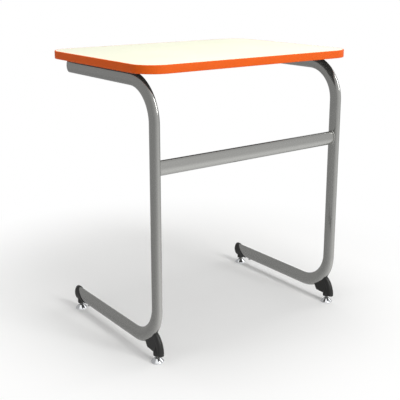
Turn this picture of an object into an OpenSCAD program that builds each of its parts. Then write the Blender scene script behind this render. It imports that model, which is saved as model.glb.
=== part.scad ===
// Cantilever student desk: a rounded laminate top on two C-shaped oval tube frames,
// joined by one oval crossbar, on four levelling glides.
// The origin is on the floor under the middle of the top. +Z is up, -X is the desk's left,
// -Y is the side with the posts (the heel side) and +Y is the sitter's side (the toe side).

/* [Desk top] */
// Height of the writing surface above the floor
desk_height = 753; // [700:1:800]
// Width of the top, side to side
top_width = 686; // [660:1:760]
// Depth of the top, heel side to sitter's side
top_depth = 500; // [480:1:560]
// Radius of the top's corners
top_corner_radius = 63.5; // [40:0.5:90]
// Thickness of the particleboard core
core_thickness = 19; // [16:0.5:25]
// Thickness of the decorative laminate
laminate_thickness = 1.2; // [0.8:0.1:1.6]
// Thickness of the backing sheet
backer_thickness = 0.8; // [0.5:0.1:1.2]

/* [Edge band] */
// Thickness of the band's face
band_thickness = 3; // [2:0.1:4]
// Depth of the barbed tongue behind the band's face
tongue_depth = 9; // [7:0.5:12]
// Thickness of the tongue
tongue_thickness = 2.2; // [1.6:0.1:2.8]
// Height of each barb over the tongue's faces
barb_height = 0.5; // [0.3:0.1:0.8]
// Room left round the tongue in its groove
groove_clearance = 0.2; // [0.1:0.05:0.4]

/* [Tube] */
// Long side of the oval tube
tube_long = 38.1; // [36:0.1:42]
// Short side of the oval tube
tube_short = 19.05; // [17:0.05:21]
// Radius of the tube's narrow edges
tube_edge_radius = 6.1; // [5:0.1:7]
// Wall of the tube
tube_wall = 1.9; // [1.5:0.1:2.4]

/* [Frame] */
// Distance between the middles of the two posts
post_spacing = 610; // [590:1:640]
// Distance from the top's heel edge to the middle of the posts
post_setback = 24; // [22:0.5:40]
// Bend radius under the top, at the middle of the tube
upper_bend_radius = 101.6; // [85:0.1:115]
// Bend radius near the floor, at the middle of the tube
lower_bend_radius = 101.6; // [98:0.1:106]
// Reach of the upper arm from the middle of the post
upper_arm_reach = 414; // [390:1:430]
// Height of the lower arm's middle above the floor
lower_arm_height = 45; // [44:0.5:50]
// Height of the crossbar's middle above the floor
crossbar_height = 505; // [400:1:560]
// Gap left between a curved seat and what it carries
seat_gap = 0.15; // [0.1:0.05:0.3]
// Size of the weld beads
weld_size = 2.6; // [2:0.1:3.5]

/* [Top fixing] */
// Width of a mounting tab along the arm
tab_width = 32; // [24:1:40]
// Reach of a mounting tab from the middle of the arm
tab_reach = 44; // [36:1:54]
// Thickness of a mounting tab
tab_thickness = 3; // [2.5:0.1:4]
// Distance from the middle of the arm to the top screws
top_screw_offset = 30; // [26:1:32]
// Distance between neighbouring tabs
tab_spacing = 130; // [100:1:135]
// Distance from the middle of the post to the first tab
first_tab_offset = 130; // [125:1:140]
// Shank of a top screw
top_screw_diameter = 4.8; // [4:0.1:5.5]
// Length of a top screw under its head
top_screw_length = 16; // [14:0.5:18]

/* [Arm plugs] */
// Thickness of the part of the plug that shows
plug_flange = 3.4; // [2.5:0.1:5]
// Length of the plug inside the tube
plug_depth = 20; // [14:1:30]
// Clearance of a plug or spigot inside the tube
plug_clearance = 0.2; // [0.1:0.05:0.4]

/* [Heel feet] */
// Thickness of the rounded rim along the foot's long edge
heel_rim_thickness = 17; // [16:0.5:18]
// Thickness of the foot's web at its bottom
heel_web_thickness = 14.4; // [14:0.2:15]
// Thickness of the foot where it meets the tube
heel_top_thickness = 12.4; // [11:0.2:13.6]
// Reach of the foot behind the middle of the post
heel_reach = 22.2; // [21:0.2:22.8]
// Radius of the foot's long rounded edge, seen from the side
heel_edge_radius = 65; // [60:1:70]
// Diameter of the boss round the heel glide
heel_boss_diameter = 22; // [20:0.5:23]
// Height of the rim's lower end above the boss's underside
heel_rim_lift = 3.8; // [2.5:0.1:5]
// Height of the step above the boss's underside
heel_step_height = 6.7; // [6:0.1:7.5]
// Reach of the step in front of the middle of the post
heel_step_reach = 38.5; // [36:0.5:41]
// Rise of the step's underside towards its corner
heel_step_rise = 2.2; // [0:0.1:3]
// Shank of the screw that holds a foot or boot
foot_screw_diameter = 5; // [4:0.1:5.5]
// Angle of the heel screw from straight down, round the bend
heel_screw_angle = 31; // [30:1:32]
// Depth of the heel screw's recess
heel_screw_recess = 7; // [5:0.5:8]

/* [Toe boots] */
// Angle at which the lower arm's end is cut
toe_cut_angle = 40; // [38:1:44]
// Distance from the middle of the post to the cut, at the arm's middle
toe_cut_reach = 392.5; // [390:0.5:393]
// Reach of the straight part of the boot from the middle of the post
boot_reach = 417.5; // [415:0.5:420]
// Height by which the boot stands proud of the tube
boot_wall = 2; // [1.5:0.1:2.5]
// Diameter of the boot's stub
boot_stub_diameter = 20; // [18:0.5:21]
// Length of the boot's spigot inside the tube, from the cut
spigot_length = 52; // [48:1:60]

/* [Glides] */
// Distance from the middle of the post to the heel glide
heel_glide_offset = 1.5; // [-1:0.5:3]
// Distance from the heel glide to the toe glide
glide_spacing = 402.5; // [401:0.5:404]
// Height of the toe boots' undersides above the floor, with the glides screwed in
toe_clearance = 18; // [17:0.1:19]
// Height of the heel feet's undersides above the floor
heel_clearance = 19.5; // [18.5:0.1:20.5]
// Thread diameter of the stem
stem_diameter = 8; // [7:0.5:8.5]
// Height of the stem's top above the floor
stem_top = 43.5; // [42:0.5:45]
// Diameter of the stem's ball
ball_diameter = 9; // [8.5:0.1:9.4]
// Height of the ball's centre above the floor
ball_height = 7; // [6.8:0.1:7.4]
// Outside diameter of the threaded insert
insert_diameter = 11; // [10.5:0.1:12]
// Length of the threaded insert
insert_length = 15; // [14:0.5:16]
// Running clearance of the stem in its thread, on the radius
thread_clearance = 0.05; // [0.03:0.01:0.08]
// Outside diameter of the chrome base
base_diameter = 33; // [32:0.5:36]
// Height of the chrome base's top above the floor
base_height = 12.3; // [12:0.1:12.8]
// Thickness of the chrome base's wall
base_wall = 1.1; // [0.9:0.1:1.3]
// Thickness of the pad that meets the floor
pad_thickness = 2.4; // [2:0.1:2.6]
// Gap between pieces that tilt against each other
tilt_gap = 0.35; // [0.3:0.05:0.5]

/* [Hidden] */
$fn = 96;
left = -1;
right = 1;

// Colours as seen
ivory = "#fbfbe6";
orange = "#ff6b2d";
frame_grey = "#8c8d86";
black_plastic = "#26261f";

// Heights in the top
top_thickness = core_thickness + laminate_thickness + backer_thickness;
underside_z = desk_height - top_thickness;
core_z = underside_z + backer_thickness;
laminate_z = core_z + core_thickness;
panel_width = top_width - 2 * band_thickness;
panel_depth = top_depth - 2 * band_thickness;
panel_corner = top_corner_radius - band_thickness;
tongue_z = core_z + core_thickness / 2;

// The oval section is four arcs: two flanks and two narrow edges
half_long = tube_long / 2;
half_short = tube_short / 2;
edge_centre = half_long - tube_edge_radius;
flank_radius = (half_short ^ 2 + edge_centre ^ 2 - tube_edge_radius ^ 2)
    / (2 * (half_short - tube_edge_radius));
flank_centre = flank_radius - half_short;
// The edge circles are this much larger, so that they cross the flanks and don't only touch them
edge_swell = 0.04;

// Places along the frame
post_y = post_setback - top_depth / 2;
upper_arm_z = underside_z - half_long - seat_gap;
post_low_z = lower_arm_height + lower_bend_radius;
post_high_z = upper_arm_z - upper_bend_radius;
upper_arm_length = upper_arm_reach - upper_bend_radius;
tab_places = [for (i = [0:2]) first_tab_offset + i * tab_spacing];

// Arc of the heel foot's long edge
heel_round = heel_rim_thickness / 2;
heel_arc_radius = heel_edge_radius - heel_round;
heel_arc_y = heel_edge_radius - heel_reach;
heel_arc_z = heel_clearance + heel_step_height;
heel_rim_z = heel_clearance + heel_rim_lift;
heel_step_z = heel_clearance + heel_step_height;

// Glides
toe_glide_offset = heel_glide_offset + glide_spacing;
stem_radius = stem_diameter / 2;
socket_radius = ball_diameter / 2 + 1.5;
cavity_radius = socket_radius + tilt_gap;
neck_radius = stem_radius - 0.9;
base_shoulder = socket_radius + 2.3;
base_lip_z = 0.8;
screw_head_height = 2.8;
driver_depth = 1.6;
cut = 1;
far = 400;

// Outline of the tube, grown outwards by an amount or shrunk by a negative one
module oval(grow = 0) {
    blend = (flank_radius + grow) * edge_centre / (flank_radius - tube_edge_radius);
    intersection() {
        translate([-flank_centre, 0]) circle(r = flank_radius + grow);
        translate([flank_centre, 0]) circle(r = flank_radius + grow);
        square([4 * half_short, 2 * blend], center = true);
    }
    for (end = [-1, 1])
        translate([0, end * (edge_centre - edge_swell)])
            circle(r = tube_edge_radius + edge_swell + grow);
}

// Extrudes an outline along +Y, with the outline's Y standing up
module along_y(length) {
    rotate([90, 0, 0]) mirror([0, 0, 1]) linear_extrude(length) children();
}

// Quarter bend round the X axis, from straight below its centre to the post side
module quarter_bend(radius, grow) {
    mirror([0, 1, 0]) rotate([0, 90, 0]) rotate_extrude(angle = 90)
        translate([radius, 0]) rotate(90) oval(grow);
}

module upper_arm(grow, extra) {
    translate([0, post_y + upper_bend_radius, upper_arm_z])
        along_y(upper_arm_length + extra) oval(grow);
}

module upper_bend(grow) {
    translate([0, post_y + upper_bend_radius, post_high_z])
        mirror([0, 0, 1]) quarter_bend(upper_bend_radius, grow);
}

module post(grow) {
    translate([0, post_y, post_low_z]) linear_extrude(post_high_z - post_low_z) oval(grow);
}

module lower_bend(grow) {
    translate([0, post_y + lower_bend_radius, post_low_z])
        quarter_bend(lower_bend_radius, grow);
}

module lower_arm(grow) {
    difference() {
        translate([0, post_y + lower_bend_radius, lower_arm_height])
            along_y(toe_cut_reach - lower_bend_radius + tube_long) oval(grow);
        beyond_toe_cut();
    }
}

// Everything on the sitter's side of the slanted cut
module beyond_toe_cut() {
    translate([0, post_y + toe_cut_reach, lower_arm_height]) rotate([-toe_cut_angle, 0, 0])
        translate([-far / 2, 0, -far / 2]) cube([far, far, far]);
}

module tube_outside() {
    upper_arm(0, 0);
    upper_bend(0);
    post(0);
    lower_bend(0);
    lower_arm(0);
}

module tube_inside() {
    upper_arm(-tube_wall, cut);
    upper_bend(-tube_wall);
    post(-tube_wall);
    lower_bend(-tube_wall);
    lower_arm_bore();
}

module lower_arm_bore() {
    translate([0, post_y + lower_bend_radius, lower_arm_height])
        along_y(toe_cut_reach - lower_bend_radius + tube_long) oval(-tube_wall);
}

module at_frame(side) {
    translate([side * post_spacing / 2, 0, 0]) children();
}

module frame_tube(side) {
    color(frame_grey) at_frame(side) difference() {
        tube_outside();
        tube_inside();
        heel_screw_hole(foot_screw_diameter);
        toe_screw_hole(foot_screw_diameter);
    }
}

// Crossbar, coped to the posts' round flanks
module crossbar_outline(length, grow) {
    translate([0, post_y, crossbar_height]) rotate([0, 90, 0])
        linear_extrude(length, center = true) rotate(90) oval(grow);
}

module post_flanks(grow) {
    for (side = [left, right])
        translate([side * (post_spacing / 2 + flank_centre), post_y, crossbar_height - tube_long])
            cylinder(r = flank_radius + grow, h = 2 * tube_long);
}

module crossbar() {
    color(frame_grey) difference() {
        crossbar_outline(post_spacing, 0);
        crossbar_outline(post_spacing + 2 * cut, -tube_wall);
        post_flanks(seat_gap);
    }
}

// Bead round the crossbar's end, and one under each tab
module welds(side) {
    color(frame_grey) {
        crossbar_weld(side);
        at_frame(side) for (place = tab_places)
            difference() {
                translate([0, post_y + place - tab_width / 2 + weld_size, upper_arm_z])
                    along_y(tab_width - 2 * weld_size) intersection() {
                        oval(weld_size);
                        tab_weld_zone(side);
                    }
                upper_arm(0, 0);
            }
    }
}

// The bead lies in the corner between the crossbar and the post's round flank
module crossbar_weld(side) {
    difference() {
        intersection() {
            crossbar_outline(post_spacing, weld_size);
            translate([side * post_spacing / 2, post_y, crossbar_height - tube_long])
                linear_extrude(2 * tube_long) oval(weld_size);
        }
        crossbar_outline(post_spacing, seat_gap);
        at_frame(side) post(0);
    }
}

// Side view of the bead: below the tab and close to it
module tab_weld_zone(side) {
    tab_low = half_long + seat_gap - tab_thickness;
    mirror([side > 0 ? 1 : 0, 0])
        translate([0, tab_low - weld_size]) square([2 * half_short, weld_size]);
}

// The top, from the underside up
module rounded_panel(width, depth, corner) {
    square([width - 2 * corner, depth], center = true);
    square([width, depth - 2 * corner], center = true);
    for (x = [-1, 1], y = [-1, 1])
        translate([x * (width / 2 - corner), y * (depth / 2 - corner)]) circle(r = corner);
}

// The panel's outline, moved inwards by an amount
module panel_outline(inset = 0) {
    rounded_panel(panel_width - 2 * inset, panel_depth - 2 * inset, panel_corner - inset);
}

module slab(bottom, thickness, inset = 0) {
    translate([0, 0, bottom]) linear_extrude(thickness) panel_outline(inset);
}

module tongue_ring(from, to, thickness) {
    translate([0, 0, tongue_z - thickness / 2]) linear_extrude(thickness)
        difference() {
            panel_outline(from);
            panel_outline(to);
        }
}

module top_core() {
    groove = tongue_thickness + 2 * barb_height + 2 * groove_clearance;
    color("tan") difference() {
        slab(core_z, core_thickness);
        translate([0, 0, tongue_z - groove / 2]) linear_extrude(groove) difference() {
            rounded_panel(top_width, top_depth, top_corner_radius);
            panel_outline(tongue_depth + groove_clearance);
        }
        top_screw_places(left) top_screw_shank();
        top_screw_places(right) top_screw_shank();
    }
}

module top_backer() {
    color("#3b3a36") difference() {
        slab(underside_z, backer_thickness);
        top_screw_places(left) top_screw_shank();
        top_screw_places(right) top_screw_shank();
    }
}

module top_laminate() {
    color(ivory) slab(laminate_z, laminate_thickness);
}

module edge_band() {
    barb_depth = tongue_depth / 4;
    color(orange) {
        translate([0, 0, underside_z]) linear_extrude(top_thickness) difference() {
            rounded_panel(top_width, top_depth, top_corner_radius);
            panel_outline();
        }
        tongue_ring(0, tongue_depth, tongue_thickness);
        for (i = [1, 2, 3])
            tongue_ring(i * barb_depth, i * barb_depth + barb_height, tongue_thickness + 2 * barb_height);
    }
}

// Tabs welded to the arms' inner sides, with one screw each up into the core
module top_screw_places(side) {
    for (place = tab_places)
        translate([side * (post_spacing / 2 - top_screw_offset), post_y + place, underside_z])
            children();
}

module top_screw_shank(length = top_screw_length) {
    translate([0, 0, -tab_thickness]) cylinder(d = top_screw_diameter, h = length);
}

module top_tabs(side) {
    color(frame_grey) at_frame(side) difference() {
        for (place = tab_places)
            translate([0, post_y + place, underside_z - tab_thickness])
                mirror([side > 0 ? 1 : 0, 0, 0]) tab_plate();
        upper_arm(seat_gap, 0);
        translate([-side * post_spacing / 2, 0, 0])
            top_screw_places(side) translate([0, 0, -tab_thickness - cut])
                cylinder(d = top_screw_diameter + 0.6, h = tab_thickness + 2 * cut);
    }
}

// One tab, rounded at its free end
module tab_plate() {
    linear_extrude(tab_thickness) {
        translate([0, -tab_width / 2]) square([tab_reach - tab_width / 2, tab_width]);
        translate([tab_reach - tab_width / 2, 0]) circle(d = tab_width);
    }
}

module top_screws(side) {
    color("silver") top_screw_places(side) {
        top_screw_shank(top_screw_length - top_screw_diameter / 2);
        translate([0, 0, top_screw_length - top_screw_diameter / 2 - tab_thickness])
            cylinder(d1 = top_screw_diameter, d2 = 0.6, h = top_screw_diameter / 2);
        translate([0, 0, -tab_thickness]) mirror([0, 0, 1]) pan_head(top_screw_diameter);
    }
}

// Pan head with a cross recess; it stands on the plane at its origin
module pan_head(shank) {
    head = 1.9 * shank;
    difference() {
        union() {
            cylinder(d = head, h = screw_head_height - 0.8);
            translate([0, 0, screw_head_height - 0.8]) cylinder(d1 = head, d2 = head - 2.4, h = 0.8);
        }
        for (turn = [0, 90])
            translate([0, 0, screw_head_height - driver_depth / 2]) rotate(turn)
                cube([head * 0.55, 1, driver_depth + 0.01], center = true);
    }
}

module arm_plug(side) {
    color(black_plastic) at_frame(side) translate([0, post_y + upper_arm_reach, upper_arm_z]) {
        along_y(plug_flange - 1) oval(0);
        translate([0, plug_flange - 1, 0]) along_y(1) oval(-1);
        translate([0, -plug_depth, 0]) difference() {
            along_y(plug_depth) oval(-tube_wall - plug_clearance);
            translate([0, -cut, 0]) along_y(plug_depth - 2) oval(-2 * tube_wall - plug_clearance);
        }
    }
}

// Heel feet: a tapered web with a rounded rim, cut to sit on the bend
module heel_region() {
    bend_point = function(angle, radius) [
        lower_bend_radius - radius * sin(angle),
        post_low_z - radius * cos(angle)
    ];
    polygon([
        [-heel_reach - cut, heel_rim_z],
        [heel_glide_offset, heel_rim_z],
        [heel_glide_offset, heel_step_z],
        [heel_step_reach, heel_step_z + heel_step_rise],
        bend_point(27, lower_bend_radius),
        bend_point(68, lower_bend_radius),
        [-heel_reach - cut, bend_point(68, lower_bend_radius)[1]]
    ]);
}

// Front view of the foot: it narrows from the step up to the tube
module heel_taper(thickness) {
    wide = thickness / 2;
    narrow = heel_top_thickness / 2;
    low = heel_step_z;
    high = post_low_z - lower_bend_radius / 2;
    translate([0, far / 2, 0]) rotate([90, 0, 0]) linear_extrude(far) polygon([
        [-wide, 0], [wide, 0], [wide, low], [narrow, high - 20], [narrow, high + tube_long],
        [-narrow, high + tube_long], [-narrow, high - 20], [-wide, low]
    ]);
}

module along_x(length) {
    rotate([90, 0, 90]) linear_extrude(length, center = true) children();
}

module heel_web() {
    intersection() {
        translate([0, heel_arc_y, heel_arc_z]) rotate([0, 90, 0])
            cylinder(r = heel_arc_radius, h = heel_rim_thickness, center = true);
        along_x(2 * heel_rim_thickness) heel_region();
        heel_taper(heel_web_thickness);
    }
}

// Round boss that holds the glide; it fades into the web above the step
module heel_boss() {
    straight = heel_step_height + heel_step_rise;
    translate([0, heel_glide_offset, heel_clearance]) {
        cylinder(d = heel_boss_diameter, h = straight);
        translate([0, 0, straight])
            cylinder(d1 = heel_boss_diameter, d2 = insert_diameter, h = heel_boss_diameter);
    }
}

module heel_rim() {
    intersection() {
        translate([0, heel_arc_y, heel_arc_z]) rotate([0, 90, 0])
            rotate_extrude() translate([heel_arc_radius, 0]) circle(r = heel_round);
        along_x(2 * heel_rim_thickness) heel_region();
        heel_taper(heel_rim_thickness);
    }
}

module heel_foot(side) {
    color(black_plastic) at_frame(side) difference() {
        translate([0, post_y, 0]) {
            heel_web();
            heel_rim();
            heel_boss();
        }
        lower_bend(seat_gap);
        glide_hole(heel_glide_offset, heel_clearance);
        heel_screw_hole(foot_screw_diameter + 0.6);
        heel_screw_seat() translate([0, 0, -tube_long])
            cylinder(d = 2 * foot_screw_diameter + 1, h = tube_long);
    }
}

// Axis of the heel screw: it points from outside to the middle of the bend
module heel_screw_axis() {
    translate([0, post_y + lower_bend_radius, post_low_z]) rotate([-heel_screw_angle, 0, 0])
        children();
}

// Place under the screw's head, with +Z into the tube
module heel_screw_seat() {
    edge = (post_low_z - heel_step_z) / cos(heel_screw_angle) - heel_step_rise;
    heel_screw_axis() translate([0, 0, -edge + heel_screw_recess]) children();
}

module heel_screw_hole(diameter) {
    heel_screw_axis() translate([0, 0, -lower_bend_radius - tube_long])
        cylinder(d = diameter, h = tube_long);
}

module heel_foot_screw(side) {
    edge = (post_low_z - heel_step_z) / cos(heel_screw_angle) - heel_step_rise;
    length = edge - heel_screw_recess - lower_bend_radius - half_long + 3 * tube_wall;
    color("silver") at_frame(side) heel_screw_seat() {
        cylinder(d = foot_screw_diameter, h = length);
        mirror([0, 0, 1]) pan_head(foot_screw_diameter);
    }
}

// Toe boots: a cap on the slanted end of the lower arm, with a stub for the glide
module boot_nose() {
    rotate_extrude() intersection() {
        oval(boot_wall);
        translate([0, -tube_long]) square([tube_long, 2 * tube_long]);
    }
}

module toe_boot(side) {
    nose_y = post_y + boot_reach;
    color(black_plastic) at_frame(side) difference() {
        union() {
            intersection() {
                translate([0, post_y + lower_bend_radius, lower_arm_height])
                    along_y(boot_reach - lower_bend_radius) oval(boot_wall);
                beyond_toe_cut();
            }
            translate([0, nose_y, lower_arm_height]) boot_nose();
            translate([0, post_y + toe_glide_offset, toe_clearance])
                cylinder(d = boot_stub_diameter, h = lower_arm_height - toe_clearance);
            translate([0, post_y + toe_cut_reach - spigot_length, lower_arm_height])
                along_y(spigot_length) oval(-tube_wall - plug_clearance);
        }
        glide_hole(toe_glide_offset, toe_clearance);
        toe_screw_hole(foot_screw_diameter);
    }
}

module toe_screw_axis() {
    translate([0, post_y + toe_cut_reach - spigot_length + 14, lower_arm_height - half_long])
        children();
}

module toe_screw_hole(diameter) {
    toe_screw_axis() translate([0, 0, -half_short]) cylinder(d = diameter, h = half_short + 16);
}

module toe_boot_screw(side) {
    color("silver") at_frame(side) toe_screw_axis() translate([0, 0, -seat_gap]) {
        cylinder(d = foot_screw_diameter, h = 15);
        mirror([0, 0, 1]) pan_head(foot_screw_diameter);
    }
}

// Glides: a stem with a ball, a cushion round the ball, a chrome base and a pad
module at_glide(side, offset) {
    translate([side * post_spacing / 2, post_y + offset, 0]) children();
}

// Pocket for the insert, with room above it for the stem
module glide_hole(offset, underside) {
    translate([0, post_y + offset, underside - cut]) {
        cylinder(d = insert_diameter, h = insert_length + cut);
        cylinder(d = stem_diameter + 0.8, h = stem_top - underside + 2 * cut);
    }
}

module glide_insert(side, offset, underside) {
    color("#b08d3a") at_glide(side, offset) translate([0, 0, underside]) difference() {
        cylinder(d = insert_diameter, h = insert_length);
        translate([0, 0, -cut])
            cylinder(r = stem_radius + thread_clearance, h = insert_length + 2 * cut);
    }
}

module glide_stem(side, offset) {
    thread_z = base_height + 1.2;
    color("silver") at_glide(side, offset) {
        translate([0, 0, ball_height]) sphere(d = ball_diameter);
        translate([0, 0, ball_height]) cylinder(r = neck_radius, h = thread_z - ball_height);
        translate([0, 0, thread_z])
            cylinder(r = stem_radius, h = stem_top - thread_z - 1);
        translate([0, 0, stem_top - 1])
            cylinder(r1 = stem_radius, r2 = stem_radius - 1, h = 1);
    }
}

// Rubber ring round the ball: a ball outside, so that the base tilts round it
module glide_cushion(side, offset) {
    color("#2b2b2b") at_glide(side, offset) translate([0, 0, ball_height]) difference() {
        sphere(r = socket_radius);
        sphere(d = ball_diameter + 2 * thread_clearance);
        cylinder(r = neck_radius + 0.5, h = 2 * socket_radius);
        translate([0, 0, -2 * socket_radius - ball_diameter / 2 + 1])
            cylinder(r = 2 * socket_radius, h = 2 * socket_radius);
        translate([0, 0, ball_diameter / 2 - 0.9]) cylinder(r = 2 * socket_radius, h = socket_radius);
    }
}

// Chrome base: a hollow cone with an upright lip and a flat top
module base_profile(inset) {
    rim = base_diameter / 2 - inset;
    polygon([
        [0, base_lip_z - inset - cut],
        [rim, base_lip_z - inset - cut],
        [rim, base_lip_z + 2.4 - 0.3 * inset],
        [rim - 0.5, base_lip_z + 3.1 - 0.5 * inset],
        [base_shoulder - 0.8 * inset, base_height - 0.9 - 0.7 * inset],
        [base_shoulder - 0.9 - 0.4 * inset, base_height - 0.2 - inset],
        [base_shoulder - 1.7, base_height - inset],
        [0, base_height - inset]
    ]);
}

module glide_base(side, offset) {
    opening = neck_radius + 2;
    color("#dfe2e4") at_glide(side, offset) rotate_extrude() difference() {
        base_profile(0);
        base_profile(base_wall);
        translate([0, ball_height]) circle(r = cavity_radius);
        translate([-cut, -2 * cut]) square([opening + cut, base_height + 4 * cut]);
        translate([0, base_lip_z - far]) square([far, far]);
    }
}

module glide_pad(side, offset) {
    rim = base_diameter / 2 - base_wall - 0.1;
    color("#e9e7df") at_glide(side, offset) difference() {
        union() {
            cylinder(r1 = rim - 0.5, r2 = rim, h = 0.5);
            translate([0, 0, 0.5]) cylinder(r = rim, h = pad_thickness - 0.5);
        }
        translate([0, 0, ball_height]) sphere(r = cavity_radius);
    }
}

top_core();
top_laminate();
top_backer();
edge_band();
frame_tube(left);  // left_frame_tube
frame_tube(right);  // right_frame_tube
crossbar();
welds(left);  // left_welds
welds(right);  // right_welds
top_tabs(left);  // left_top_tabs
top_tabs(right);  // right_top_tabs
top_screws(left);  // left_top_screws
top_screws(right);  // right_top_screws
arm_plug(left);  // left_arm_plug
arm_plug(right);  // right_arm_plug
heel_foot(left);  // left_heel_foot
heel_foot(right);  // right_heel_foot
heel_foot_screw(left);  // left_heel_foot_screw
heel_foot_screw(right);  // right_heel_foot_screw
toe_boot(left);  // left_toe_boot
toe_boot(right);  // right_toe_boot
toe_boot_screw(left);  // left_toe_boot_screw
toe_boot_screw(right);  // right_toe_boot_screw
glide_insert(left, heel_glide_offset, heel_clearance);  // left_heel_glide_insert
glide_insert(right, heel_glide_offset, heel_clearance);  // right_heel_glide_insert
glide_insert(left, toe_glide_offset, toe_clearance);  // left_toe_glide_insert
glide_insert(right, toe_glide_offset, toe_clearance);  // right_toe_glide_insert
glide_stem(left, heel_glide_offset);  // left_heel_glide_stem
glide_stem(right, heel_glide_offset);  // right_heel_glide_stem
glide_stem(left, toe_glide_offset);  // left_toe_glide_stem
glide_stem(right, toe_glide_offset);  // right_toe_glide_stem
glide_cushion(left, heel_glide_offset);  // left_heel_glide_cushion
glide_cushion(right, heel_glide_offset);  // right_heel_glide_cushion
glide_cushion(left, toe_glide_offset);  // left_toe_glide_cushion
glide_cushion(right, toe_glide_offset);  // right_toe_glide_cushion
glide_base(left, heel_glide_offset);  // left_heel_glide_base
glide_base(right, heel_glide_offset);  // right_heel_glide_base
glide_base(left, toe_glide_offset);  // left_toe_glide_base
glide_base(right, toe_glide_offset);  // right_toe_glide_base
glide_pad(left, heel_glide_offset);  // left_heel_glide_pad
glide_pad(right, heel_glide_offset);  // right_heel_glide_pad
glide_pad(left, toe_glide_offset);  // left_toe_glide_pad
glide_pad(right, toe_glide_offset);  // right_toe_glide_pad
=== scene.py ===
import math
import bpy
import bmesh
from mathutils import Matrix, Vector


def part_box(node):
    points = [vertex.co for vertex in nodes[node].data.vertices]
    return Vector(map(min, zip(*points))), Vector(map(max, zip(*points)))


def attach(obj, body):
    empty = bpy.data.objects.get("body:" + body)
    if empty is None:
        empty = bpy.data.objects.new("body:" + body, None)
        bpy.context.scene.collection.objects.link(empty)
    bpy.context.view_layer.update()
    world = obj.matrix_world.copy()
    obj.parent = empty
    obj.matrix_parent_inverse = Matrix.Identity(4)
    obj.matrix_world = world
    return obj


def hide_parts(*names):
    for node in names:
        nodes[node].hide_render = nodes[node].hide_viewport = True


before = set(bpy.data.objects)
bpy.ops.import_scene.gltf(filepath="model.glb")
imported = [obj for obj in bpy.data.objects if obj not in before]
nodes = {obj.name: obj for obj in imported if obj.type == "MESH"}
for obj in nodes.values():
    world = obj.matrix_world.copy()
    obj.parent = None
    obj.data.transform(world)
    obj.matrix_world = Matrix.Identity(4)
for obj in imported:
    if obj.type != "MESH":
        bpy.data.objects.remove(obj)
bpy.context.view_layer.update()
print("frame loaded:", len(nodes), "nodes")

mm = 0.001
sides = {"left": -1, "right": 1}


# Helpers

samePoint = 1e-7  # metres within which two points are one


def toLinear(hexColour):
    # From an sRGB hex colour to linear red, green, blue and alpha
    parts = [int(hexColour[i:i + 2], 16) / 255 for i in (1, 3, 5)]
    return tuple(p / 12.92 if p <= 0.04045 else ((p + 0.055) / 1.055) ** 2.4 for p in parts) + (1.0,)


def addNode(tree, kind, inputs=None, **settings):
    # An input that is another node's socket is linked, and any other is set
    node = tree.nodes.new(kind)
    for key, value in settings.items():
        setattr(node, key, value)
    for key, value in (inputs or {}).items():
        if isinstance(value, bpy.types.NodeSocket):
            tree.links.new(value, node.inputs[key])
        else:
            node.inputs[key].default_value = value
    return node


def emptyTree(name):
    material = bpy.data.materials.new(name)
    material.use_nodes = True
    material.node_tree.nodes.clear()
    return material, material.node_tree


def makeMesh(name, verts, faces, material, replaced, body="desk", smooth=35):
    mesh = bpy.data.meshes.new(name)
    mesh.from_pydata([tuple(v) for v in verts], [], faces)
    bm = bmesh.new()
    bm.from_mesh(mesh)
    bmesh.ops.remove_doubles(bm, verts=bm.verts, dist=samePoint)
    bmesh.ops.recalc_face_normals(bm, faces=bm.faces)
    bm.to_mesh(mesh)
    bm.free()
    piece = bpy.data.objects.new(name, mesh)
    bpy.context.scene.collection.objects.link(piece)
    finishPiece(piece, material, replaced, body, smooth)
    return piece


def finishPiece(piece, material, replaced, body, smooth):
    dress(piece, material, smooth)
    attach(piece, body)
    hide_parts(replaced)


def dress(piece, material, smooth=30):
    # Edges that bend by more than this many degrees stay sharp
    piece.data.materials.clear()
    piece.data.materials.append(material)
    piece.data.shade_smooth()
    piece.data.set_sharp_from_angle(angle=math.radians(smooth))


def loft(rings, closed=False):
    # Skins rings of equal length: an open loft gets flat ends, a closed one joins its ends
    verts = [v for ring in rings for v in ring]
    around, count = len(rings[0]), len(rings)
    faces = []
    for i in range(count if closed else count - 1):
        here, there = i * around, (i + 1) % count * around
        for j in range(around):
            k = (j + 1) % around
            faces.append((here + j, here + k, there + k, there + j))
    if not closed:
        faces.append(tuple(range(around))[::-1])
        faces.append(tuple(range((count - 1) * around, count * around)))
    return verts, faces


def joined(*parts):
    verts, faces = [], []
    for partVerts, partFaces in parts:
        base = len(verts)
        verts += partVerts
        faces += [tuple(i + base for i in face) for face in partFaces]
    return verts, faces


def lathe(profile, centre, steps, closed=False):
    cx, cy = centre
    turns = [math.tau * i / steps for i in range(steps)]
    rings = [[(cx + r * math.cos(t), cy + r * math.sin(t), z) for t in turns] for r, z in profile]
    return loft(rings, closed)


def arc(cx, cy, r, start, end, steps):
    turns = [math.radians(start + (end - start) * i / steps) for i in range(steps + 1)]
    return [(cx + r * math.cos(t), cy + r * math.sin(t)) for t in turns]


# Camera, fitted to the photograph. The shift stays small, because every other view keeps it too

cameraSettings = {
    "place": (-1.2566, -1.6699, 0.9489),
    "yaw": 36.926,
    "pitch": 14.029,
    "focalPixels": 750.8,
    "framePixels": 400,
    "sensorMm": 36,
    "shift": -0.09,
}

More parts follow.
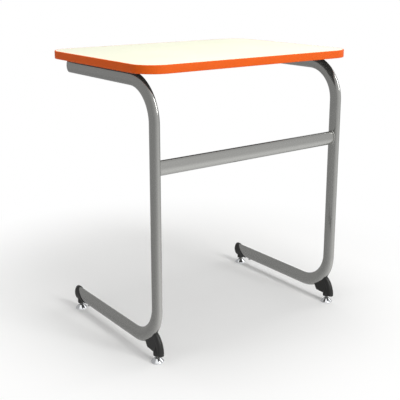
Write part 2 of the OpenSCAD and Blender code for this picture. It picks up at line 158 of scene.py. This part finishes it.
cameraData = bpy.data.cameras.new("camera")
camera = bpy.data.objects.new("camera", cameraData)
bpy.context.scene.collection.objects.link(camera)
camera.location = cameraSettings["place"]
tilt, turn = math.radians(90 - cameraSettings["pitch"]), math.radians(-cameraSettings["yaw"])
camera.rotation_euler = (tilt, 0, turn)
cameraData.sensor_width = cameraSettings["sensorMm"]
cameraData.lens = cameraSettings["focalPixels"] / cameraSettings["framePixels"] * cameraSettings["sensorMm"]
cameraData.shift_y = cameraSettings["shift"]
bpy.context.scene.camera = camera
bpy.context.scene.view_settings.view_transform = "Standard"
print("camera placed")


# Materials. In each look one pattern mixes two tints, and the gloss and the relief follow patterns
# too. Flakes, pebbles and mould texture are finer than a render can show, so they are drawn as
# coarse as they need to be seen close up.

plainLook = {"metallic": 0.0, "specular": 0.5, "spread": 0.2, "cloudDetail": 3, "grainDetail": 4,
             "strength": 0.6}
metalLook = {"metallic": 1.0, "specular": 0.5, "spread": 0.2, "cloudDetail": 3, "grainDetail": 3,
             "strength": 0.4}
noiseRange = (0.3, 0.7)


def scaleFor(sizeMm):
    return 1 / (sizeMm * mm)


def finishMaterial(tree, look, tintBy, glossBy, reliefBy):
    # The tints blend about the pattern's middle value, over the spread to each side of it
    colour = addNode(tree, "ShaderNodeValToRGB", {"Fac": tintBy})
    first, second = colour.color_ramp.elements
    first.position, second.position = 0.5 - look["spread"], 0.5 + look["spread"]
    first.color, second.color = toLinear(look["tints"][0]), toLinear(look["tints"][1])
    roughness = look["roughness"]
    if glossBy:
        gloss = addNode(tree, "ShaderNodeMapRange", {"Value": glossBy,
                                                     "From Min": noiseRange[0], "From Max": noiseRange[1],
                                                     "To Min": roughness[0], "To Max": roughness[1]})
        roughness = gloss.outputs["Result"]
    relief = addNode(tree, "ShaderNodeBump", {"Height": reliefBy, "Strength": look["strength"],
                                              "Distance": look["reliefMm"] * mm})
    shader = addNode(tree, "ShaderNodeBsdfPrincipled", {"Base Color": colour.outputs["Color"],
                                                        "Metallic": look["metallic"],
                                                        "Roughness": roughness,
                                                        "Specular IOR Level": look["specular"],
                                                        "Normal": relief.outputs["Normal"]})
    addNode(tree, "ShaderNodeOutputMaterial", {"Surface": shader.outputs[0]})


def grainedMaterial(name, look):
    # Two tints in soft clouds, and one fine grain in gloss and relief
    material, tree = emptyTree(name)
    at = addNode(tree, "ShaderNodeTexCoord").outputs["Object"]
    clouds = addNode(tree, "ShaderNodeTexNoise", {"Vector": at, "Scale": scaleFor(look["cloudMm"]),
                                                  "Detail": look["cloudDetail"]})
    grain = addNode(tree, "ShaderNodeTexNoise", {"Vector": at, "Scale": scaleFor(look["grainMm"]),
                                                 "Detail": look["grainDetail"]})
    finishMaterial(tree, look, clouds.outputs["Fac"], grain.outputs["Fac"], grain.outputs["Fac"])
    return material


def bandMaterial():
    # Extruded edge band: faint draw lines run along it, and they stretch the highlight.
    look = plainLook | {"tints": ("#fd6910", "#f9650e"), "roughness": (0.45, 0.56), "specular": 0.3,
                        "driftMm": 50, "specksMm": 0.7, "linesMm": 2.5, "linesStretch": 14, "detail": 3,
                        "strength": 0.5, "reliefMm": 0.02}
    material, tree = emptyTree("orange edge band")
    at = addNode(tree, "ShaderNodeTexCoord").outputs["Object"]
    flattened = addNode(tree, "ShaderNodeMapping", {"Vector": at, "Scale": (1, 1, look["linesStretch"])})
    drift, specks, lines = (
        addNode(tree, "ShaderNodeTexNoise", {"Vector": place, "Scale": scaleFor(look[size]),
                                             "Detail": look["detail"]}).outputs["Fac"]
        for place, size in ((at, "driftMm"), (at, "specksMm"), (flattened.outputs[0], "linesMm")))
    finishMaterial(tree, look, drift, specks, lines)
    return material


def enamelMaterial(name, roughness):
    # Metallic grey powder coat: aluminium flakes under a clear resin mirror the room softly, and
    # the fine orange-peel skin only frays the edges of the highlights. Over the welds' ripples
    # the coat cures rougher, so they don't sparkle.
    look = metalLook | {"tints": ("#a9a9a6", "#b0b0ad"), "spread": 0.5, "roughness": roughness,
                        "metallic": 0.94, "flakeMm": 0.35, "peelMm": 2.5, "peelDetail": 2,
                        "strength": 0.5, "reliefMm": 0.0006}
    material, tree = emptyTree(name)
    at = addNode(tree, "ShaderNodeTexCoord").outputs["Object"]
    flakes = addNode(tree, "ShaderNodeTexVoronoi", {"Vector": at, "Scale": scaleFor(look["flakeMm"])})
    flake = addNode(tree, "ShaderNodeSeparateColor", {"Color": flakes.outputs["Color"]})
    peel = addNode(tree, "ShaderNodeTexNoise", {"Vector": at, "Scale": scaleFor(look["peelMm"]),
                                                "Detail": look["peelDetail"]})
    finishMaterial(tree, look, flake.outputs["Red"], peel.outputs["Fac"], peel.outputs["Fac"])
    return material


def boardMaterial():
    # Particleboard: pressed chips of several browns, with pits between them.
    look = plainLook | {"tints": ("#a67f4e", "#d3b07c"), "spread": 0.5, "roughness": 0.85,
                        "chipMm": 2.2, "reliefMm": 0.15}
    material, tree = emptyTree("particleboard")
    at = addNode(tree, "ShaderNodeTexCoord").outputs["Object"]
    chips = addNode(tree, "ShaderNodeTexVoronoi", {"Vector": at, "Scale": scaleFor(look["chipMm"])})
    chip = addNode(tree, "ShaderNodeSeparateColor", {"Color": chips.outputs["Color"]})
    finishMaterial(tree, look, chip.outputs["Red"], None, chip.outputs["Red"])
    return material


orangeBand = bandMaterial()
enamel = enamelMaterial("grey metallic powder coat", (0.13, 0.16))
weldEnamel = enamelMaterial("grey metallic powder coat on welds", (0.41, 0.44))
particleboard = boardMaterial()

# High-pressure laminate: the press plate's fine pebble breaks up the shine, and the paper's tint
# drifts a little, so the big pale surface doesn't look like bare colour.
laminate = grainedMaterial("ivory laminate", plainLook | {
    "tints": ("#f8f9e4", "#f5f6df"), "spread": 0.15, "roughness": (0.51, 0.6), "specular": 0.3,
    "cloudMm": 220, "cloudDetail": 2, "grainMm": 0.9, "reliefMm": 0.006})

# Phenolic backing sheet: a dull brown-black paper with a dry, slightly cloudy face.
backingSheet = grainedMaterial("dark backing sheet", plainLook | {
    "tints": ("#3a3935", "#33322f"), "roughness": (0.5, 0.63),
    "cloudMm": 90, "grainMm": 0.8, "reliefMm": 0.02})

# Moulded polypropylene: spark-eroded mould texture gives it a broken, low sheen.
blackPlastic = grainedMaterial("black moulded plastic", plainLook | {
    "tints": ("#1a1a18", "#161614"), "roughness": (0.34, 0.47),
    "cloudMm": 20, "grainMm": 0.45, "reliefMm": 0.02})

# Cushion rubber: matt, with a dusty bloom in patches.
rubber = grainedMaterial("black rubber", plainLook | {
    "tints": ("#1e1e1e", "#262625"), "roughness": (0.69, 0.82),
    "cloudMm": 5, "grainMm": 0.6, "reliefMm": 0.03})

# Glide sole: off-white nylon, waxy rather than shiny.
nylon = grainedMaterial("off-white nylon", plainLook | {
    "tints": ("#d2cfc4", "#c8c5ba"), "roughness": (0.44, 0.57),
    "cloudMm": 7, "grainMm": 0.8, "reliefMm": 0.02})

# Bright zinc on screws and stems: bluish white, with the plating's soft grey patches.
zinc = grainedMaterial("bright zinc plate", metalLook | {
    "tints": ("#c9cac8", "#bcbebd"), "roughness": (0.24, 0.36),
    "cloudMm": 4, "grainMm": 0.5, "reliefMm": 0.004})

# Turned inserts: bare brass, a little dulled.
brass = grainedMaterial("turned brass", metalLook | {
    "tints": ("#d2a856", "#c39a4c"), "roughness": (0.24, 0.36),
    "cloudMm": 4, "grainMm": 0.5, "reliefMm": 0.004})

# Chrome on the pressed glide bases: a clear mirror, hardly broken by polishing haze.
chrome = grainedMaterial("chrome plate", metalLook | {
    "tints": ("#e8eaec", "#e2e4e6"), "roughness": (0.04, 0.06),
    "cloudMm": 6, "grainMm": 0.6, "reliefMm": 0.0006})
print("materials made")


# Pieces that keep their CAD shape

dress(nodes["top_core"], particleboard)
dress(nodes["top_backer"], backingSheet)
for sideName in sides:
    dress(nodes[sideName + "_top_tabs"], enamel)
    for screwSet in ("_top_screws", "_heel_foot_screw", "_toe_boot_screw"):
        dress(nodes[sideName + screwSet], zinc)
    for place in ("_heel_glide", "_toe_glide"):
        dress(nodes[sideName + place + "_insert"], brass)
        dress(nodes[sideName + place + "_cushion"], rubber)


# Desk top: the band with its barbed tongue, and the laminate sheet inside it

top = {"cornerMm": 63.5, "edgeRoundMm": 1.6, "seamMm": 0.12, "easedEdgeMm": 0.35, "easedShare": 0.3,
       "cornerSteps": 32, "edgeSteps": 6, "tongueMm": 9.0, "tongueHalfMm": 1.1, "barbs": 3, "barbMm": 0.5,
       "barbSpacingMm": 2.25}

bandLo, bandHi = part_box("edge_band")
coreLo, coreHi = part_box("top_core")
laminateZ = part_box("top_laminate")[0][2]
topZ, undersideZ = bandHi[2], bandLo[2]
bandBack = bandHi[0] - coreHi[0]


def roundedOutline(inset, z):
    # The top's outline at one height, this far in from its edge
    cx, cy = bandHi[0] - top["cornerMm"] * mm, bandHi[1] - top["cornerMm"] * mm
    points = []
    for sx, sy, start in ((1, 1, 0), (-1, 1, 90), (-1, -1, 180), (1, -1, 270)):
        corner = arc(sx * cx, sy * cy, top["cornerMm"] * mm - inset, start, start + 90, top["cornerSteps"])
        points += [(x, y, z) for x, y in corner]
    return points


def bandSection():
    # Pairs of depth in from the band's face and height, once round the section
    r, half, barb = top["edgeRoundMm"] * mm, top["tongueHalfMm"] * mm, top["barbMm"] * mm
    middle = (coreLo[2] + coreHi[2]) / 2
    barbs = [bandBack + (i + 1) * top["barbSpacingMm"] * mm for i in range(top["barbs"])]
    section = [(bandBack, topZ)]
    section += [(r - x, topZ - r + y) for x, y in arc(0, 0, r, 90, 0, top["edgeSteps"])]
    section += [(r - x, undersideZ + r + y) for x, y in arc(0, 0, r, 0, -90, top["edgeSteps"])]
    section += [(bandBack, undersideZ), (bandBack, middle - half)]
    for at in barbs:
        section += [(at, middle - half), (at, middle - half - barb), (at + barb, middle - half)]
    tongueEnd = bandBack + top["tongueMm"] * mm
    section += [(tongueEnd, middle - half), (tongueEnd, middle + half)]
    for at in barbs[::-1]:
        section += [(at + barb, middle + half), (at, middle + half + barb), (at, middle + half)]
    return section + [(bandBack, middle + half)]


sectionRings = [roundedOutline(inset, z) for inset, z in bandSection()]
verts, faces = loft(list(zip(*sectionRings)), closed=True)
makeMesh("orange_band", verts, faces, orangeBand, "edge_band")

seam, eased = bandBack + top["seamMm"] * mm, top["easedEdgeMm"] * mm
partEased = eased * top["easedShare"]
verts, faces = loft([roundedOutline(seam, laminateZ),
                     roundedOutline(seam, topZ - eased),
                     roundedOutline(seam + partEased, topZ - partEased),
                     roundedOutline(seam + eased, topZ)])
makeMesh("laminate_sheet", verts, faces, laminate, "top_laminate", smooth=30)
print("top made")


# Frames: two C-shaped oval tubes and the crossbar between them

tube = {"longMm": 38.1, "shortMm": 19.05, "wallMm": 1.9, "bendMm": 101.6, "armReachMm": 414,
        "cutReachMm": 392.5, "cutAngle": 40, "aroundSteps": 72, "bendSteps": 40, "seatGapMm": 0.1}

tubeLo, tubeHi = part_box("right_frame_tube")
barLo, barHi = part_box("crossbar")
halfLong, halfShort = tube["longMm"] * mm / 2, tube["shortMm"] * mm / 2
wall, bend = tube["wallMm"] * mm, tube["bendMm"] * mm
postX = (tubeLo[0] + tubeHi[0]) / 2
postY = tubeLo[1] + halfLong
highZ, lowZ = tubeHi[2] - halfLong, tubeLo[2] + halfLong
armEndY = postY + tube["armReachMm"] * mm
barZ = (barLo[2] + barHi[2]) / 2


def ovalPoints(grow):
    # Pairs across and along the oval's long axis, grown or shrunk all round
    turns = [math.tau * i / tube["aroundSteps"] for i in range(tube["aroundSteps"])]
    return [((halfShort + grow) * math.sin(t), (halfLong + grow) * math.cos(t)) for t in turns]


def tubeStations():
    # From the upper arm's open end down: the tube's middle (y, z), and which way (y, z) its oval's
    # outer end points
    stations = [(armEndY, highZ, 0, 1)]
    quarter = [math.pi / 2 * i / tube["bendSteps"] for i in range(tube["bendSteps"] + 1)]
    for t in quarter:
        outY, outZ = -math.sin(t), math.cos(t)
        stations.append((postY + bend + bend * outY, highZ - bend + bend * outZ, outY, outZ))
    for t in quarter:
        outY, outZ = -math.cos(t), -math.sin(t)
        stations.append((postY + bend + bend * outY, lowZ + bend + bend * outZ, outY, outZ))
    stations.append((postY + tube["cutReachMm"] * mm, lowZ, 0, -1))
    return stations


def tubeRings(x, grow):
    # One ring at each station, the last of them slanted as the toe is cut
    rings = [[(x + across, y + outY * along, z + outZ * along) for across, along in ovalPoints(grow)]
             for y, z, outY, outZ in tubeStations()]
    slant = math.tan(math.radians(tube["cutAngle"]))
    rings[-1] = [(px, py + (pz - lowZ) * slant, pz) for px, py, pz in rings[-1]]
    return rings


for sideName, sign in sides.items():
    verts, faces = loft(tubeRings(sign * postX, 0) + tubeRings(sign * postX, -wall)[::-1], closed=True)
    makeMesh(sideName + "_c_tube", verts, faces, enamel, sideName + "_frame_tube")


def flankAt(y):
    # Half the post's thickness at this place across it
    return halfShort * math.sqrt(max(0.0, 1 - ((y - postY) / halfLong) ** 2))


def copedRing(sign, grow):
    # The crossbar's end, shaped to the post's flank
    gap = tube["seatGapMm"] * mm
    return [(sign * (postX - flankAt(postY + across) - gap), postY + across, barZ + up)
            for across, up in ovalPoints(grow)]


def straightRing(x, grow):
    return [(x, postY + across, barZ + up) for across, up in ovalPoints(grow)]


straightX = postX - halfShort - halfLong
verts, faces = loft([copedRing(-1, 0), straightRing(-straightX, 0),
                     straightRing(straightX, 0), copedRing(1, 0),
                     copedRing(1, -wall), straightRing(straightX, -wall),
                     straightRing(-straightX, -wall), copedRing(-1, -wall)], closed=True)
makeMesh("oval_crossbar", verts, faces, enamel, "crossbar")


# Welds: a rippled bead round each end of the crossbar, and one under each tab

weld = {"radiusMm": 1.7, "ripple": 0.16, "ripples": 46, "stepsPerRipple": 6, "around": 10,
        "sunkMm": 0.4, "outMm": 0.2, "tabLengthMm": 32, "tabInsetMm": 6.9, "tabBeadMm": 26,
        "tabRadiusMm": 1.5, "tabRipples": 9, "tabSteps": 60, "tabEndShare": 0.35, "tabEndTapers": 12}


def crossbarBead(sign):
    # A closed bead round the bar, lying on the post's flank
    steps = weld["ripples"] * weld["stepsPerRipple"]
    rings = []
    for i in range(steps):
        t = math.tau * i / steps
        outward = Vector((0, math.sin(t) / halfShort, math.cos(t) / halfLong)).normalized()
        y, z = postY + halfShort * math.sin(t), barZ + halfLong * math.cos(t)
        x = sign * (postX - flankAt(y) - (tube["seatGapMm"] + weld["sunkMm"]) * mm)
        middle = Vector((x, y, z)) + outward * weld["outMm"] * mm
        radius = weld["radiusMm"] * mm * (1 + weld["ripple"] * (0.5 + 0.5 * math.sin(weld["ripples"] * t)))
        turns = [math.tau * k / weld["around"] for k in range(weld["around"])]
        rings.append([middle + outward * radius * math.cos(s) + Vector((sign * radius * math.sin(s), 0, 0))
                      for s in turns])
    return loft(rings, closed=True)


def tabBeads(sign, sideName):
    # One straight bead under each of the three tabs, thinner at its ends
    lo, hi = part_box(sideName + "_top_tabs")
    halfTab = weld["tabLengthMm"] / 2 * mm
    x, z = sign * (postX - weld["tabInsetMm"] * mm), lo[2] - weld["sunkMm"] * mm
    beads = []
    for y in (lo[1] + halfTab, (lo[1] + hi[1]) / 2, hi[1] - halfTab):
        rings = []
        for i in range(weld["tabSteps"] + 1):
            along = i / weld["tabSteps"]
            fullness = math.sqrt(min(1, min(along, 1 - along) * weld["tabEndTapers"]))
            taper = weld["tabEndShare"] + (1 - weld["tabEndShare"]) * fullness
            ripple = 1 + weld["ripple"] * math.sin(math.tau * weld["tabRipples"] * along)
            radius = weld["tabRadiusMm"] * mm * taper * ripple
            rings.append([(x + px, y + (along - 0.5) * weld["tabBeadMm"] * mm, z + pz)
                          for px, pz in arc(0, 0, radius, 0, 360, weld["around"])[:-1]])
        beads.append(loft(rings))
    return joined(*beads)


for sideName, sign in sides.items():
    verts, faces = joined(crossbarBead(sign), tabBeads(sign, sideName))
    makeMesh(sideName + "_weld_beads", verts, faces, weldEnamel, sideName + "_welds",
             smooth=60)


# Arm plugs: a domed flange over a spigot, in pairs of growth from the oval and place along the arm

plug = {"spigot": ((-2.1, -20), (-2.1, 0.05)),
        "flange": ((0, 0.05), (0, 1.6), (-0.25, 2.3), (-0.8, 2.9), (-1.6, 3.3), (-2.6, 3.4))}

for sideName, sign in sides.items():
    rings = [[(sign * postX + across, armEndY + along * mm, highZ + up)
              for across, up in ovalPoints(grow * mm)]
             for grow, along in plug["spigot"] + plug["flange"]]
    verts, faces = loft(rings)
    makeMesh(sideName + "_plug", verts, faces, blackPlastic, sideName + "_arm_plug",
             smooth=40)
print("frames made")


# Feet and boots: moulded, so their CAD shapes get soft edges

moulding = {"voxelMm": 0.5, "smoothing": 5}


def mouldedCopy(name, nodeName):
    # A copy of the CAD solid, rebuilt in fine even faces and smoothed over its edges
    piece = bpy.data.objects.new(name, nodes[nodeName].data.copy())
    bpy.context.scene.collection.objects.link(piece)
    remesh = piece.modifiers.new("remesh", "REMESH")
    remesh.mode = "VOXEL"
    remesh.voxel_size = moulding["voxelMm"] * mm
    soften = piece.modifiers.new("soften", "SMOOTH")
    soften.iterations = moulding["smoothing"]
    shaped = bpy.data.meshes.new_from_object(piece.evaluated_get(bpy.context.evaluated_depsgraph_get()))
    piece.modifiers.clear()
    piece.data = shaped
    finishPiece(piece, blackPlastic, nodeName, "desk", smooth=70)


for sideName in sides:
    mouldedCopy(sideName + "_heel_wedge", sideName + "_heel_foot")
    mouldedCopy(sideName + "_toe_cap", sideName + "_toe_boot")
print("feet made")


# Glides: chrome bell, nylon sole and threaded stem; pairs are radius and height in mm

glideBell = {
    "outside": ((16.2, 0.8), (16.5, 1.1), (16.5, 2.9), (16.4, 3.35), (16.1, 3.75), (15.7, 4.15), (12, 7.8),
                (8.5, 11.2), (8.1, 11.6), (7.6, 11.95), (7.0, 12.2), (6.4, 12.3), (5.3, 12.3)),
    "inside": ((5.1, 12.1), (5.1, 11.25), (6.7, 11.2), (7.4, 10.7), (14.8, 3.5), (15.4, 2.8), (15.4, 0.8)),
    "steps": 96,
}
glideSole = {
    "outside": ((0.01, 0), (13.9, 0), (14.4, 0.12), (14.8, 0.45), (14.85, 0.8), (15.3, 0.95), (15.3, 2.4)),
    "dish": ((4.4, 2.4), (3.4, 1.6), (2, 0.95), (0.01, 0.6)),
}
glideStem = {
    "ballZ": 7.0, "ballRadius": 4.5, "ballArc": (-89, 40, 14), "neckRadius": 3.1, "neck": (10.3, 12.6),
    "threadStart": 13.5, "threadRadius": 3.98, "pitch": 1.25, "threadDepth": 0.62, "crestShare": 0.12,
    "flankShare": 0.72, "runIn": 1.2, "runInDepth": 0.25, "around": 36, "rowsPerPitch": 9,
    "tip": ((3.3, 0.9), (2.9, 0.2), (2.2, 0)), "tipLength": 1.2,
}


def inMetres(profile):
    return [(r * mm, z * mm) for r, z in profile]


def stemMesh(x, y, endMm):
    # Rows of radius and height up the stem. A groove that climbs one pitch a turn cuts the thread
    s = glideStem
    plain = arc(0, s["ballZ"], s["ballRadius"], *s["ballArc"])
    plain += [(s["neckRadius"], z) for z in s["neck"]]
    rows = [(r, z, False) for r, z in plain]
    threadRows = int((endMm - s["tipLength"] - s["threadStart"]) * s["rowsPerPitch"] / s["pitch"])
    rows += [(s["threadRadius"], s["threadStart"] + i * s["pitch"] / s["rowsPerPitch"], True)
             for i in range(threadRows)]
    rows += [(r, endMm - down, False) for r, down in s["tip"]]
    rings = []
    for radius, z, threaded in rows:
        ring = []
        for k in range(s["around"]):
            turn = k / s["around"]
            r = radius
            if threaded:
                phase = (z / s["pitch"] - turn) % 1
                groove = min(1, max(0, (abs(phase - 0.5) * 2 - s["crestShare"]) / s["flankShare"]))
                runIn = min(1, (z - s["threadStart"]) / s["runIn"])
                r -= s["threadDepth"] * groove * runIn + s["runInDepth"] * (1 - runIn)
            angle = math.tau * turn
            ring.append((x + r * mm * math.cos(angle), y + r * mm * math.sin(angle), z * mm))
        rings.append(ring)
    return loft(rings)


for sideName in sides:
    for place in ("_heel_glide", "_toe_glide"):
        name = sideName + place
        lo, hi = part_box(name + "_pad")
        x, y = (lo[0] + hi[0]) / 2, (lo[1] + hi[1]) / 2
        bell = inMetres(glideBell["outside"] + glideBell["inside"])
        verts, faces = lathe(bell, (x, y), glideBell["steps"], closed=True)
        makeMesh(name + "_bell", verts, faces, chrome, name + "_base", name + "_foot",
                 smooth=50)
        sole = inMetres(glideSole["outside"] + glideSole["dish"])
        verts, faces = lathe(sole, (x, y), glideBell["steps"])
        makeMesh(name + "_sole", verts, faces, nylon, name + "_pad", name + "_foot",
                 smooth=40)
        verts, faces = stemMesh(x, y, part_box(name + "_stem")[1][2] / mm)
        makeMesh(name + "_threaded_stem", verts, faces, zinc, name + "_stem", name + "_screw",
                 smooth=50)
print("glides made")


# Floor: pale where the desk stands, and plain white further out, as on a studio sweep. Mirrors
# don't see it, because the world draws a studio for them

floorSettings = {"colour": "#f8f8f7", "roughness": 0.9, "specular": 0.2, "middle": (0.05, 0.15),
                 "fadeStart": 0.4, "fadeEnd": 1.0, "radius": 1.05, "steps": 96}

rim = arc(*floorSettings["middle"], floorSettings["radius"], 0, 360, floorSettings["steps"])[:-1]
floorMesh = bpy.data.meshes.new("floor")
floorMesh.from_pydata([(x, y, 0) for x, y in rim], [], [tuple(range(floorSettings["steps"]))])
floor = bpy.data.objects.new("floor", floorMesh)
bpy.context.scene.collection.objects.link(floor)
floorMaterial, tree = emptyTree("pale studio floor")
at = addNode(tree, "ShaderNodeTexCoord").outputs["Object"]
away = addNode(tree, "ShaderNodeVectorMath", {0: at, 1: floorSettings["middle"] + (0,)}, operation="DISTANCE")
fade = addNode(tree, "ShaderNodeMapRange", {"Value": away.outputs["Value"],
                                            "From Min": floorSettings["fadeStart"],
                                            "From Max": floorSettings["fadeEnd"]},
               interpolation_type="SMOOTHSTEP")
rays = addNode(tree, "ShaderNodeLightPath").outputs
seen = addNode(tree, "ShaderNodeMath", {0: rays["Is Camera Ray"], 1: rays["Is Glossy Ray"]},
               operation="MAXIMUM")
shown = addNode(tree, "ShaderNodeMath", {0: seen.outputs[0], 1: rays["Is Transmission Ray"]},
                operation="MAXIMUM")
whiteShare = addNode(tree, "ShaderNodeMath", {0: fade.outputs["Result"], 1: shown.outputs[0]},
                     operation="MULTIPLY")
lit = addNode(tree, "ShaderNodeBsdfPrincipled", {"Base Color": toLinear(floorSettings["colour"]),
                                                 "Roughness": floorSettings["roughness"],
                                                 "Specular IOR Level": floorSettings["specular"]})
white = addNode(tree, "ShaderNodeEmission", {"Color": (1, 1, 1, 1), "Strength": 1.0})
ground = addNode(tree, "ShaderNodeMixShader", {0: whiteShare.outputs[0],
                                               1: lit.outputs[0],
                                               2: white.outputs[0]})
addNode(tree, "ShaderNodeOutputMaterial", {"Surface": ground.outputs[0]})
floorMesh.materials.append(floorMaterial)
floor.visible_glossy = False


# World: soft fill, stronger from the front right. Mirrors see a studio instead: a wall and a ground,
# both brighter towards the front, and a bright ceiling. Each Turn holds the cosines, between a
# direction and its side, where the low value ends and the high value starts.

worldSettings = {
    "fillSide": (0.6, -0.8, 0),
    "fillTurn": (-1, 1),
    "fillLow": 0.19,
    "fillHigh": 0.5,
    "wallSide": (-0.05, -1, 0),
    "wallTurn": (-0.2, 1),
    "wallLow": 0.44,
    "wallHigh": 0.88,
    "groundSide": (0.2, -0.98, 0),
    "groundTurn": (-0.92, 0.7),
    "groundLow": 0.35,
    "groundHigh": 1.15,
    "groundFrom": -0.12,
    "groundTo": -0.55,
    "ceiling": 1.1,
    "ceilingFrom": 0.76,
    "ceilingTo": 0.88,
}


def sideShade(tree, towards, key):
    facing = addNode(tree, "ShaderNodeVectorMath", {0: towards, 1: worldSettings[key + "Side"]},
                     operation="DOT_PRODUCT").outputs["Value"]
    start, end = worldSettings[key + "Turn"]
    return addNode(tree, "ShaderNodeMapRange", {"Value": facing, "From Min": start, "From Max": end,
                                                "To Min": worldSettings[key + "Low"],
                                                "To Max": worldSettings[key + "High"]}).outputs["Result"]


def heightShare(tree, height, key):
    return addNode(tree, "ShaderNodeMapRange", {"Value": height, "From Min": worldSettings[key + "From"],
                                                "From Max": worldSettings[key + "To"]},
                   interpolation_type="SMOOTHSTEP").outputs["Result"]


world = bpy.data.worlds.new("studio")
bpy.context.scene.world = world
world.use_nodes = True
tree = world.node_tree
tree.nodes.clear()
rays = addNode(tree, "ShaderNodeLightPath").outputs
towards = addNode(tree, "ShaderNodeTexCoord").outputs["Generated"]
height = addNode(tree, "ShaderNodeSeparateXYZ", {0: towards}).outputs["Z"]
wallAndGround = addNode(tree, "ShaderNodeMix", {0: heightShare(tree, height, "ground"),
                                                2: sideShade(tree, towards, "wall"),
                                                3: sideShade(tree, towards, "ground")})
mirrored = addNode(tree, "ShaderNodeMix", {0: heightShare(tree, height, "ceiling"),
                                           2: wallAndGround.outputs[0],
                                           3: worldSettings["ceiling"]})
unseen = addNode(tree, "ShaderNodeMix", {0: rays["Is Glossy Ray"],
                                         2: sideShade(tree, towards, "fill"),
                                         3: mirrored.outputs[0]})
direct = addNode(tree, "ShaderNodeMath", {0: rays["Is Camera Ray"], 1: rays["Is Transmission Ray"]},
                 operation="MAXIMUM")
strength = addNode(tree, "ShaderNodeMix", {0: direct.outputs[0], 2: unseen.outputs[0], 3: 1.0})
background = addNode(tree, "ShaderNodeBackground", {"Color": (1, 1, 1, 1), "Strength": strength.outputs[0]})
addNode(tree, "ShaderNodeOutputWorld", {"Surface": background.outputs[0]})


# Lamps: place, target, width, height, watts and whether mirrors see the lamp

lamps = {
    "overhead": ((0.0, -0.25, 4.2), (0.0, -0.25, 0), 2.1, 6.0, 106, False),
    "front_strip": ((0.6, -3.1, 2.6), (0, 0, 0.5), 0.8, 2.2, 52, True),
    "right": ((2.9, -0.5, 1.8), (0, 0, 0.3), 0.8, 1.3, 9, True),
    "left": ((-2.6, 0.0, 2.0), (0, 0, 0.5), 1.2, 1.0, 8, False),
}

for name, (place, target, width, tall, watts, inMirrors) in lamps.items():
    data = bpy.data.lights.new(name, "AREA")
    data.shape = "RECTANGLE"
    data.size, data.size_y = width, tall
    data.energy = watts
    lamp = bpy.data.objects.new(name, data)
    lamp.location = place
    lamp.rotation_euler = (Vector(target) - Vector(place)).to_track_quat("-Z", "Y").to_euler()
    lamp.visible_glossy = inMirrors
    bpy.context.scene.collection.objects.link(lamp)
print("stage and lamps made")
